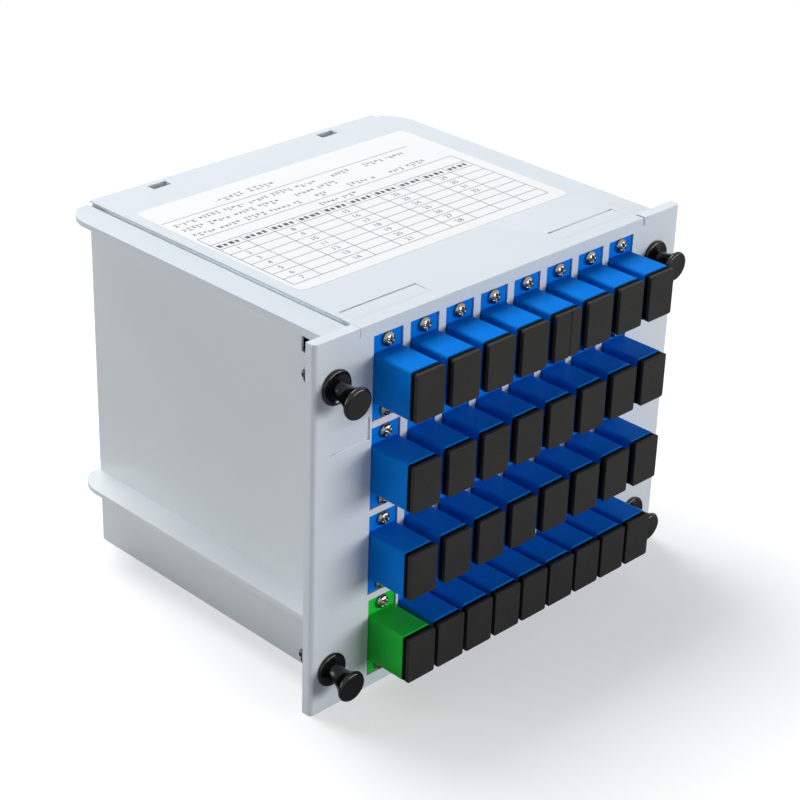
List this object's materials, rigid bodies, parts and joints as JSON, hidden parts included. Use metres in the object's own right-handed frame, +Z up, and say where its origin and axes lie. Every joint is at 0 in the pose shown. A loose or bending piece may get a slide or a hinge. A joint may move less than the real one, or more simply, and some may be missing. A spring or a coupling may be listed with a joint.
{
  "type": "fibre splitter cassette",
  "caption": "Plug-in passive optical splitter box with rows of capped SC adapters on the front, side rails and push-pull plunger latches in its ears.",
  "frame": {"origin": "on the centre line of the underside, in the plane of the front panel's back face, which seats against the shelf", "axes": "+X to the right seen from the front, the front faces -Y, +Z up"},
  "size_m": [0.13, 0.1157, 0.1011],
  "materials": {
    "tray_abs": "moulded ABS, fine satin",
    "panel_abs": "moulded ABS, fine satin",
    "cover_abs": "moulded ABS, fine satin",
    "label_paper": "white film label",
    "blue_adapter": "moulded PBT, semi-gloss",
    "green_adapter": "moulded PBT, semi-gloss",
    "nickel_screw": "nickel plated",
    "zirconia": "polished ceramic",
    "black_nylon": "moulded nylon, glossy",
    "blue_plug": "moulded plastic",
    "green_plug": "moulded plastic",
    "white_fibre": "tight-buffered fibre jacket",
    "comb_plastic": "moulded plastic",
    "steel_tube": "drawn steel",
    "cap_black": "moulded soft PVC"
  },
  "bodies": {
    "cassette": {"base_tray": "tray_abs", "front_panel": "panel_abs", "top_cover": "cover_abs", "port_label": "label_paper", "adapters_row_3": "blue_adapter", "adapters_row_2": "blue_adapter", "adapters_row_1": "blue_adapter", "adapters_row_0": "blue_adapter", "input_adapter": "green_adapter", "adapter_screws": "nickel_screw", "alignment_sleeves": "zirconia", "latch_grommets": "black_nylon", "output_plugs": "blue_plug", "input_plug": "green_plug", "output_fans": "white_fibre", "fan_comb": "comb_plastic", "fibre_coil": "white_fibre", "splitter_tube": "steel_tube", "input_lead": "white_fibre"},
    "plunger_upper_left": {"plunger_upper_left": "black_nylon"},
    "plunger_upper_right": {"plunger_upper_right": "black_nylon"},
    "plunger_lower_left": {"plunger_lower_left": "black_nylon"},
    "plunger_lower_right": {"plunger_lower_right": "black_nylon"},
    "dust_cap_r3_1": {"dust_cap_r3_1": "cap_black"},
    "dust_cap_r3_2": {"dust_cap_r3_2": "cap_black"},
    "dust_cap_r3_3": {"dust_cap_r3_3": "cap_black"},
    "dust_cap_r3_4": {"dust_cap_r3_4": "cap_black"},
    "dust_cap_r3_5": {"dust_cap_r3_5": "cap_black"},
    "dust_cap_r3_6": {"dust_cap_r3_6": "cap_black"},
    "dust_cap_r3_7": {"dust_cap_r3_7": "cap_black"},
    "dust_cap_r3_8": {"dust_cap_r3_8": "cap_black"},
    "dust_cap_r2_1": {"dust_cap_r2_1": "cap_black"},
    "dust_cap_r2_2": {"dust_cap_r2_2": "cap_black"},
    "dust_cap_r2_3": {"dust_cap_r2_3": "cap_black"},
    "dust_cap_r2_4": {"dust_cap_r2_4": "cap_black"},
    "dust_cap_r2_5": {"dust_cap_r2_5": "cap_black"},
    "dust_cap_r2_6": {"dust_cap_r2_6": "cap_black"},
    "dust_cap_r2_7": {"dust_cap_r2_7": "cap_black"},
    "dust_cap_r2_8": {"dust_cap_r2_8": "cap_black"},
    "dust_cap_r1_1": {"dust_cap_r1_1": "cap_black"},
    "dust_cap_r1_2": {"dust_cap_r1_2": "cap_black"},
    "dust_cap_r1_3": {"dust_cap_r1_3": "cap_black"},
    "dust_cap_r1_4": {"dust_cap_r1_4": "cap_black"},
    "dust_cap_r1_5": {"dust_cap_r1_5": "cap_black"},
    "dust_cap_r1_6": {"dust_cap_r1_6": "cap_black"},
    "dust_cap_r1_7": {"dust_cap_r1_7": "cap_black"},
    "dust_cap_r1_8": {"dust_cap_r1_8": "cap_black"},
    "dust_cap_input": {"dust_cap_input": "cap_black"},
    "dust_cap_r0_1": {"dust_cap_r0_1": "cap_black"},
    "dust_cap_r0_2": {"dust_cap_r0_2": "cap_black"},
    "dust_cap_r0_3": {"dust_cap_r0_3": "cap_black"},
    "dust_cap_r0_4": {"dust_cap_r0_4": "cap_black"},
    "dust_cap_r0_5": {"dust_cap_r0_5": "cap_black"},
    "dust_cap_r0_6": {"dust_cap_r0_6": "cap_black"},
    "dust_cap_r0_7": {"dust_cap_r0_7": "cap_black"},
    "dust_cap_r0_8": {"dust_cap_r0_8": "cap_black"}
  },
  "joints": [
    {"name": "pull_plunger_upper_left", "type": "slide", "parent": "cassette", "child": "plunger_upper_left", "axis": [0, -1, 0], "range_m": [0, 0.005]},
    {"name": "pull_plunger_upper_right", "type": "slide", "parent": "cassette", "child": "plunger_upper_right", "axis": [0, -1, 0], "range_m": [0, 0.005]},
    {"name": "pull_plunger_lower_left", "type": "slide", "parent": "cassette", "child": "plunger_lower_left", "axis": [0, -1, 0], "range_m": [0, 0.005]},
    {"name": "pull_plunger_lower_right", "type": "slide", "parent": "cassette", "child": "plunger_lower_right", "axis": [0, -1, 0], "range_m": [0, 0.005]},
    {"name": "pull_dust_cap_r3_1", "type": "slide", "parent": "cassette", "child": "dust_cap_r3_1", "axis": [0, -1, 0], "range_m": [0, 0.022]},
    {"name": "pull_dust_cap_r3_2", "type": "slide", "parent": "cassette", "child": "dust_cap_r3_2", "axis": [0, -1, 0], "range_m": [0, 0.022]},
    {"name": "pull_dust_cap_r3_3", "type": "slide", "parent": "cassette", "child": "dust_cap_r3_3", "axis": [0, -1, 0], "range_m": [0, 0.022]},
    {"name": "pull_dust_cap_r3_4", "type": "slide", "parent": "cassette", "child": "dust_cap_r3_4", "axis": [0, -1, 0], "range_m": [0, 0.022]},
    {"name": "pull_dust_cap_r3_5", "type": "slide", "parent": "cassette", "child": "dust_cap_r3_5", "axis": [0, -1, 0], "range_m": [0, 0.022]},
    {"name": "pull_dust_cap_r3_6", "type": "slide", "parent": "cassette", "child": "dust_cap_r3_6", "axis": [0, -1, 0], "range_m": [0, 0.022]},
    {"name": "pull_dust_cap_r3_7", "type": "slide", "parent": "cassette", "child": "dust_cap_r3_7", "axis": [0, -1, 0], "range_m": [0, 0.022]},
    {"name": "pull_dust_cap_r3_8", "type": "slide", "parent": "cassette", "child": "dust_cap_r3_8", "axis": [0, -1, 0], "range_m": [0, 0.022]},
    {"name": "pull_dust_cap_r2_1", "type": "slide", "parent": "cassette", "child": "dust_cap_r2_1", "axis": [0, -1, 0], "range_m": [0, 0.022]},
    {"name": "pull_dust_cap_r2_2", "type": "slide", "parent": "cassette", "child": "dust_cap_r2_2", "axis": [0, -1, 0], "range_m": [0, 0.022]},
    {"name": "pull_dust_cap_r2_3", "type": "slide", "parent": "cassette", "child": "dust_cap_r2_3", "axis": [0, -1, 0], "range_m": [0, 0.022]},
    {"name": "pull_dust_cap_r2_4", "type": "slide", "parent": "cassette", "child": "dust_cap_r2_4", "axis": [0, -1, 0], "range_m": [0, 0.022]},
    {"name": "pull_dust_cap_r2_5", "type": "slide", "parent": "cassette", "child": "dust_cap_r2_5", "axis": [0, -1, 0], "range_m": [0, 0.022]},
    {"name": "pull_dust_cap_r2_6", "type": "slide", "parent": "cassette", "child": "dust_cap_r2_6", "axis": [0, -1, 0], "range_m": [0, 0.022]},
    {"name": "pull_dust_cap_r2_7", "type": "slide", "parent": "cassette", "child": "dust_cap_r2_7", "axis": [0, -1, 0], "range_m": [0, 0.022]},
    {"name": "pull_dust_cap_r2_8", "type": "slide", "parent": "cassette", "child": "dust_cap_r2_8", "axis": [0, -1, 0], "range_m": [0, 0.022]},
    {"name": "pull_dust_cap_r1_1", "type": "slide", "parent": "cassette", "child": "dust_cap_r1_1", "axis": [0, -1, 0], "range_m": [0, 0.022]},
    {"name": "pull_dust_cap_r1_2", "type": "slide", "parent": "cassette", "child": "dust_cap_r1_2", "axis": [0, -1, 0], "range_m": [0, 0.022]},
    {"name": "pull_dust_cap_r1_3", "type": "slide", "parent": "cassette", "child": "dust_cap_r1_3", "axis": [0, -1, 0], "range_m": [0, 0.022]},
    {"name": "pull_dust_cap_r1_4", "type": "slide", "parent": "cassette", "child": "dust_cap_r1_4", "axis": [0, -1, 0], "range_m": [0, 0.022]},
    {"name": "pull_dust_cap_r1_5", "type": "slide", "parent": "cassette", "child": "dust_cap_r1_5", "axis": [0, -1, 0], "range_m": [0, 0.022]},
    {"name": "pull_dust_cap_r1_6", "type": "slide", "parent": "cassette", "child": "dust_cap_r1_6", "axis": [0, -1, 0], "range_m": [0, 0.022]},
    {"name": "pull_dust_cap_r1_7", "type": "slide", "parent": "cassette", "child": "dust_cap_r1_7", "axis": [0, -1, 0], "range_m": [0, 0.022]},
    {"name": "pull_dust_cap_r1_8", "type": "slide", "parent": "cassette", "child": "dust_cap_r1_8", "axis": [0, -1, 0], "range_m": [0, 0.022]},
    {"name": "pull_dust_cap_input", "type": "slide", "parent": "cassette", "child": "dust_cap_input", "axis": [0, -1, 0], "range_m": [0, 0.022]},
    {"name": "pull_dust_cap_r0_1", "type": "slide", "parent": "cassette", "child": "dust_cap_r0_1", "axis": [0, -1, 0], "range_m": [0, 0.022]},
    {"name": "pull_dust_cap_r0_2", "type": "slide", "parent": "cassette", "child": "dust_cap_r0_2", "axis": [0, -1, 0], "range_m": [0, 0.022]},
    {"name": "pull_dust_cap_r0_3", "type": "slide", "parent": "cassette", "child": "dust_cap_r0_3", "axis": [0, -1, 0], "range_m": [0, 0.022]},
    {"name": "pull_dust_cap_r0_4", "type": "slide", "parent": "cassette", "child": "dust_cap_r0_4", "axis": [0, -1, 0], "range_m": [0, 0.022]},
    {"name": "pull_dust_cap_r0_5", "type": "slide", "parent": "cassette", "child": "dust_cap_r0_5", "axis": [0, -1, 0], "range_m": [0, 0.022]},
    {"name": "pull_dust_cap_r0_6", "type": "slide", "parent": "cassette", "child": "dust_cap_r0_6", "axis": [0, -1, 0], "range_m": [0, 0.022]},
    {"name": "pull_dust_cap_r0_7", "type": "slide", "parent": "cassette", "child": "dust_cap_r0_7", "axis": [0, -1, 0], "range_m": [0, 0.022]},
    {"name": "pull_dust_cap_r0_8", "type": "slide", "parent": "cassette", "child": "dust_cap_r0_8", "axis": [0, -1, 0], "range_m": [0, 0.022]}
  ]
}
